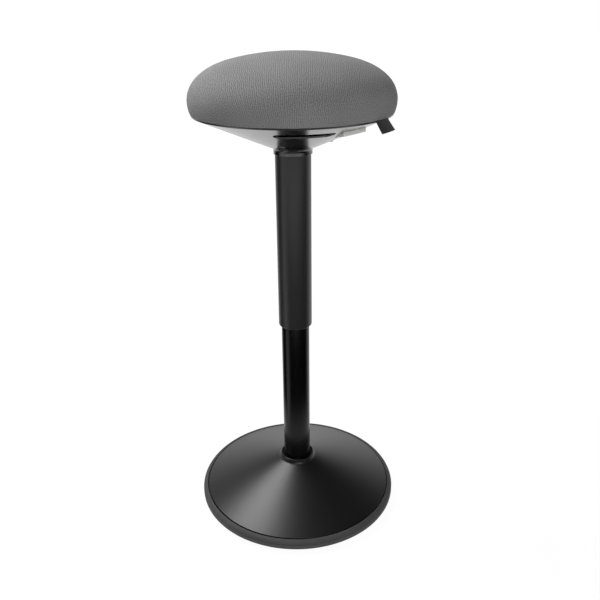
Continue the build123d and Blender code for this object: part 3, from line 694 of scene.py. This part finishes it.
def layGrain(piece):
    # fabric coordinates in metres: distance over the surface from the crown, along each bearing
    (_, crown, _, lean), (shoulderCentre, shoulder, _, _), _ = cushionArcs()
    crownLength = crown * radians(90 - lean)
    shoulderLength = shoulder * radians(lean)
    layer = piece.data.uv_layers.new(name="grain")
    for loop in piece.data.loops:
        x, y, z = piece.data.vertices[loop.vertex_index].co
        radius = hypot(x, y)
        turn = atan2(x, -y)
        if z < shoulderCentre[1]:
            along = crownLength + shoulderLength + shoulderCentre[1] - z
        elif radius > crown * cos(radians(lean)):
            climb = atan2(z - shoulderCentre[1], radius - shoulderCentre[0])
            along = crownLength + shoulder * (radians(lean) - climb)
        else:
            along = crown * asin(min(1.0, radius / crown))
        layer.data[loop.index].uv = (along * sin(turn), -along * cos(turn))


def makeCushion():
    # the pressure lifts the crown and draws the sides in, so the start is lower and wider than the result
    start = [cushionShape[key] for key in ("spread", "sink", "soften")]
    cushion = turnPiece("seatCushion", cushionOutline(*start))
    applyModifier(cushion, "REMESH", mode="VOXEL", voxel_size=cushionShape["voxel"])
    puffUp(cushion)
    applyModifier(cushion, "SUBSURF", levels=1, render_levels=1)
    # the skirt below the hem kept its edge from rounding off, and is cut away here, just above the rim
    hemLevel = coverLow.z + cushionShape["hemLift"]
    bpy.ops.object.mode_set(mode="EDIT")
    bpy.ops.mesh.select_all(action="SELECT")
    bpy.ops.mesh.bisect(plane_co=(0, 0, hemLevel), plane_no=(0, 0, 1), use_fill=True, clear_inner=True)
    closeMesh(cushion)
    boardLow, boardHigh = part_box("seat_board")
    gap = cushionShape["boardGap"]
    hemRadius = rimRadius - cushionShape["hem"]
    board = boardHigh.x + gap
    below, floor, ceiling = coverLow.z - turning["overcut"], boardLow.z - gap, boardHigh.z + gap
    recessLine = [(0, below), (hemRadius, below), (hemRadius, floor), (board, floor), (board, ceiling),
                  (0, ceiling)]
    combine(cushion, turnPiece("boardRecess", recessLine), "DIFFERENCE")
    smoothPiece(cushion, cushionShape["smoothAngle"])
    layGrain(cushion)
    finishPiece(cushion, "seat", "grey_fabric", finishes["grey_fabric"], "seat_cover", "foam_pad")


# Label: a bare black ribbon, folded double and sewn in at the seam

labelShape = {"start": 49.2, "end": 62.0, "length": 21.0 * mm, "swing": 34.0, "root": 0.8 * mm,
              "loft": 0.8 * mm, "curl": 1.2 * mm, "curlAtStart": 0.4, "stand": 0.25 * mm, "cloth": 0.3 * mm,
              "across": 24, "along": 40, "smoothAngle": 60.0}


def foldRibbon(along):
    # down the back layer, round the fold and up the front layer: how far below the seam and how far out
    length, fold = labelShape["length"], labelShape["loft"] / 2
    straight = length - fold
    if along < straight:
        return along, 0.0
    if along > 2 * length - straight:
        return 2 * length - along, labelShape["loft"]
    turn = pi * (along - straight) / (2 * length - 2 * straight)
    return straight + fold * sin(turn), fold - fold * cos(turn)


def makeLabel():
    start, end, length = labelShape["start"], labelShape["end"], labelShape["length"]
    swing = radians(labelShape["swing"])
    width = (rimRadius + length * sin(swing) / 2) * radians(end - start)
    bpy.ops.object.select_all(action="DESELECT")
    bpy.ops.mesh.primitive_grid_add(x_subdivisions=labelShape["across"], y_subdivisions=labelShape["along"],
                                    size=1.0)
    label = bpy.context.object
    label.name = label.data.name = "labelTab"
    layer = label.data.uv_layers.new(name="grain")
    for loop in label.data.loops:
        x, y, _ = label.data.vertices[loop.vertex_index].co
        layer.data[loop.index].uv = ((x + 0.5) * width, (y + 0.5) * 2 * length)
    for vertex in label.data.vertices:
        across = vertex.co.x + 0.5
        down, out = foldRibbon((vertex.co.y + 0.5) * 2 * length)
        # the ribbon curls outward to its fold, and more towards its end than its start
        curlShare = labelShape["curlAtStart"] + (1 - labelShape["curlAtStart"]) * across
        out += labelShape["curl"] * (down / length) ** 2 * curlShare
        radius = rimRadius + labelShape["stand"] + down * sin(swing) + out * cos(swing)
        level = rimTop - labelShape["root"] - down * cos(swing) + out * sin(swing)
        bearing = radians(start + (end - start) * across)
        vertex.co = (radius * sin(bearing), -radius * cos(bearing), level)
    applyModifier(label, "SOLIDIFY", thickness=labelShape["cloth"], offset=0.0)
    smoothPiece(label, labelShape["smoothAngle"])
    finishPiece(label, "seat", "label_ribbon", finishes["label_ribbon"], "label_tab")


makeSole()
makeEdgeRing()
makeCone()
makeLowerTube()
makeCoverTube()
makeShell()
makePaddle()
makeCushion()
makeLabel()
print("pieces made")


# Studio: white floor and backdrop, a large soft lamp over the left, two weak fills from the front and a dark
# ceiling. The room in front of the stool is unlit: reflections alone see a dark floor there, but for a ring
# round the base, a far band and a strip on the left, so the glossy tube stays black, the satin one charcoal.
# The low fill lights the lever and the cushion's underside and leaves no spot on gloss.
# The levels give the mirrored floor's brightness along Y, by distance from the column and by bearing.

studio = {"floorSize": 40.0, "floorTone": "#f4f4f4", "floorGlow": 0.9, "floorLevel": 1.06,
          "frontLevels": {-5.0: 0.01, -3.6: 0.01, -3.0: 2.2, -2.0: 2.2, -1.2: 0.05, -0.9: 0.01},
          "nearLevels": {0.2: 1.0, 0.27: 1.0, 0.42: 0.01},
          "bearingLevels": {-180: 1.0, -140: 1.0, -120: 0.01, -90: 0.01, -78: 1.0, -60: 1.0, -48: 0.01,
                            88: 0.01, 118: 1.0, 180: 1.0},
          "farStart": 0.5, "farEnd": 1.6, "farLevel": 1.13,
          "wallTop": 0.22, "ceilingStart": 0.66, "ceiling": 0.05, "wallFront": (-0.2, 0.3), "wallDark": 0.03}
keyLamp = {"place": (-0.85, 0.38, 1.9), "aim": (0.0, 0.0, 0.45), "size": 0.9, "power": 28.0}
fillLamp = {"place": (0.4, -1.9, 1.9), "aim": (0.0, 0.0, 0.6), "size": 1.2, "power": 18.0}
lowLamp = {"place": (0.85, -2.8, 0.25), "aim": (0.0, 0.0, 0.7), "size": 0.6, "power": 12.0}


def rampLevels(tree, value, levels):
    # brightness read off stops, each a value and its level
    start, end = min(levels), max(levels)
    share = addNode(tree, "MapRange", {"Value": value, "From Min": start, "From Max": end})
    ramp = addNode(tree, "ValToRGB", {0: share.outputs["Result"]})
    stops = ramp.color_ramp.elements
    while len(stops) < len(levels):
        stops.new(1.0)
    for stop, (mark, level) in zip(stops, levels.items()):
        stop.position = (mark - start) / (end - start)
        stop.color = (level, level, level, 1.0)
    return ramp.outputs["Color"]


def makeFloor():
    bpy.ops.object.select_all(action="DESELECT")
    bpy.ops.mesh.primitive_plane_add(size=studio["floorSize"])
    floor = bpy.context.object
    floor.name = "studioFloor"
    material = bpy.data.materials.new("white studio floor")
    material.use_nodes = True
    tree = material.node_tree
    tree.nodes.clear()
    rays = addNode(tree, "LightPath").outputs
    place = addNode(tree, "TexCoord").outputs["Object"]
    axes = addNode(tree, "SeparateXYZ", {0: place}).outputs
    away = addNode(tree, "VectorMath", {0: place}, operation="LENGTH").outputs["Value"]
    ahead = addNode(tree, "Math", {0: axes["Y"], 1: -1.0}, operation="MULTIPLY").outputs[0]
    turn = addNode(tree, "Math", {0: axes["X"], 1: ahead}, operation="ARCTAN2").outputs[0]
    bearing = addNode(tree, "Math", {0: turn}, operation="DEGREES").outputs[0]
    mirrored = rampLevels(tree, axes["Y"], studio["frontLevels"])
    for value, levels in ((away, studio["nearLevels"]), (bearing, studio["bearingLevels"])):
        mirrored = addNode(tree, "Math", {0: mirrored, 1: rampLevels(tree, value, levels)},
                           operation="MAXIMUM").outputs[0]
    seen = addNode(tree, "Math", {0: rays["Is Camera Ray"], 1: rays["Is Transmission Ray"]},
                   operation="MAXIMUM")
    share = addNode(tree, "Math", {0: seen.outputs[0], 1: studio["floorGlow"]}, operation="MULTIPLY")
    share = addNode(tree, "Math", {0: share.outputs[0], 1: rays["Is Glossy Ray"]}, operation="MAXIMUM")
    # the lamps fade with distance, so the far floor glows a little more to stay white
    white = addNode(tree, "MapRange", {"Value": away, "From Min": studio["farStart"],
                                       "From Max": studio["farEnd"], "To Min": studio["floorLevel"],
                                       "To Max": studio["farLevel"]})
    level = addNode(tree, "Mix", {0: rays["Is Glossy Ray"], 2: white.outputs["Result"], 3: mirrored})
    matt = addNode(tree, "BsdfDiffuse", {"Color": hexColour(studio["floorTone"])})
    glow = addNode(tree, "Emission", {"Color": hexColour("#ffffff"), "Strength": level.outputs[0]})
    mixed = addNode(tree, "MixShader", {0: share.outputs[0], 1: matt.outputs[0], 2: glow.outputs[0]})
    addNode(tree, "OutputMaterial", {"Surface": mixed.outputs[0]})
    floor.data.materials.append(material)


def makeBackdrop():
    world = bpy.data.worlds.new("white studio")
    world.use_nodes = True
    scene.world = world
    tree = world.node_tree
    tree.nodes.clear()
    towards = addNode(tree, "SeparateXYZ", {0: addNode(tree, "TexCoord").outputs["Generated"]}).outputs
    front = addNode(tree, "MapRange", {"Value": towards["Y"], "From Min": studio["wallFront"][0],
                                       "From Max": studio["wallFront"][1], "To Min": studio["wallDark"]})
    wall = addNode(tree, "MapRange", {"Value": towards["Z"], "From Min": studio["wallTop"],
                                      "From Max": studio["ceilingStart"], "To Min": front.outputs["Result"],
                                      "To Max": studio["ceiling"]}, interpolation_type="SMOOTHSTEP")
    rays = addNode(tree, "LightPath").outputs
    seen = addNode(tree, "Math", {0: rays["Is Camera Ray"], 1: rays["Is Transmission Ray"]},
                   operation="MAXIMUM")
    level = addNode(tree, "Mix", {0: seen.outputs[0], 2: wall.outputs["Result"], 3: 1.0})
    background = addNode(tree, "Background", {"Color": hexColour("#ffffff"), "Strength": level.outputs[0]})
    addNode(tree, "OutputWorld", {"Surface": background.outputs[0]})


def addLamp(name, settings):
    lamp = bpy.data.lights.new(name, "AREA")
    lamp.shape = "SQUARE"
    lamp.size = settings["size"]
    lamp.energy = settings["power"]
    holder = bpy.data.objects.new(name, lamp)
    scene.collection.objects.link(holder)
    holder.location = settings["place"]
    aim = Vector(settings["aim"]) - Vector(settings["place"])
    holder.rotation_euler = aim.to_track_quat("-Z", "Y").to_euler()
    return holder


# Camera, fitted to the photograph's 600 x 600 frame

view = {"place": (0.01344, -1.12114, 0.91483), "pitch": 23.990, "roll": -0.636, "yaw": 0.235, "focal": 678.84,
        "frame": 600, "sensor": 36.0}


def addCamera():
    camera = bpy.data.cameras.new("camera")
    camera.sensor_width = view["sensor"]
    camera.lens = view["focal"] / view["frame"] * view["sensor"]
    holder = bpy.data.objects.new("camera", camera)
    scene.collection.objects.link(holder)
    yaw, roll = (Matrix.Rotation(radians(view[name]), 4, "Z") for name in ("yaw", "roll"))
    tilt = Matrix.Rotation(radians(90 - view["pitch"]), 4, "X")
    holder.matrix_world = Matrix.Translation(view["place"]) @ yaw @ tilt @ roll
    scene.camera = holder


makeFloor()
makeBackdrop()
addLamp("keySoftbox", keyLamp)
addLamp("frontFill", fillLamp)
addLamp("lowFill", lowLamp).visible_glossy = False
addCamera()
scene.view_settings.view_transform = "Standard"
print("studio ready")
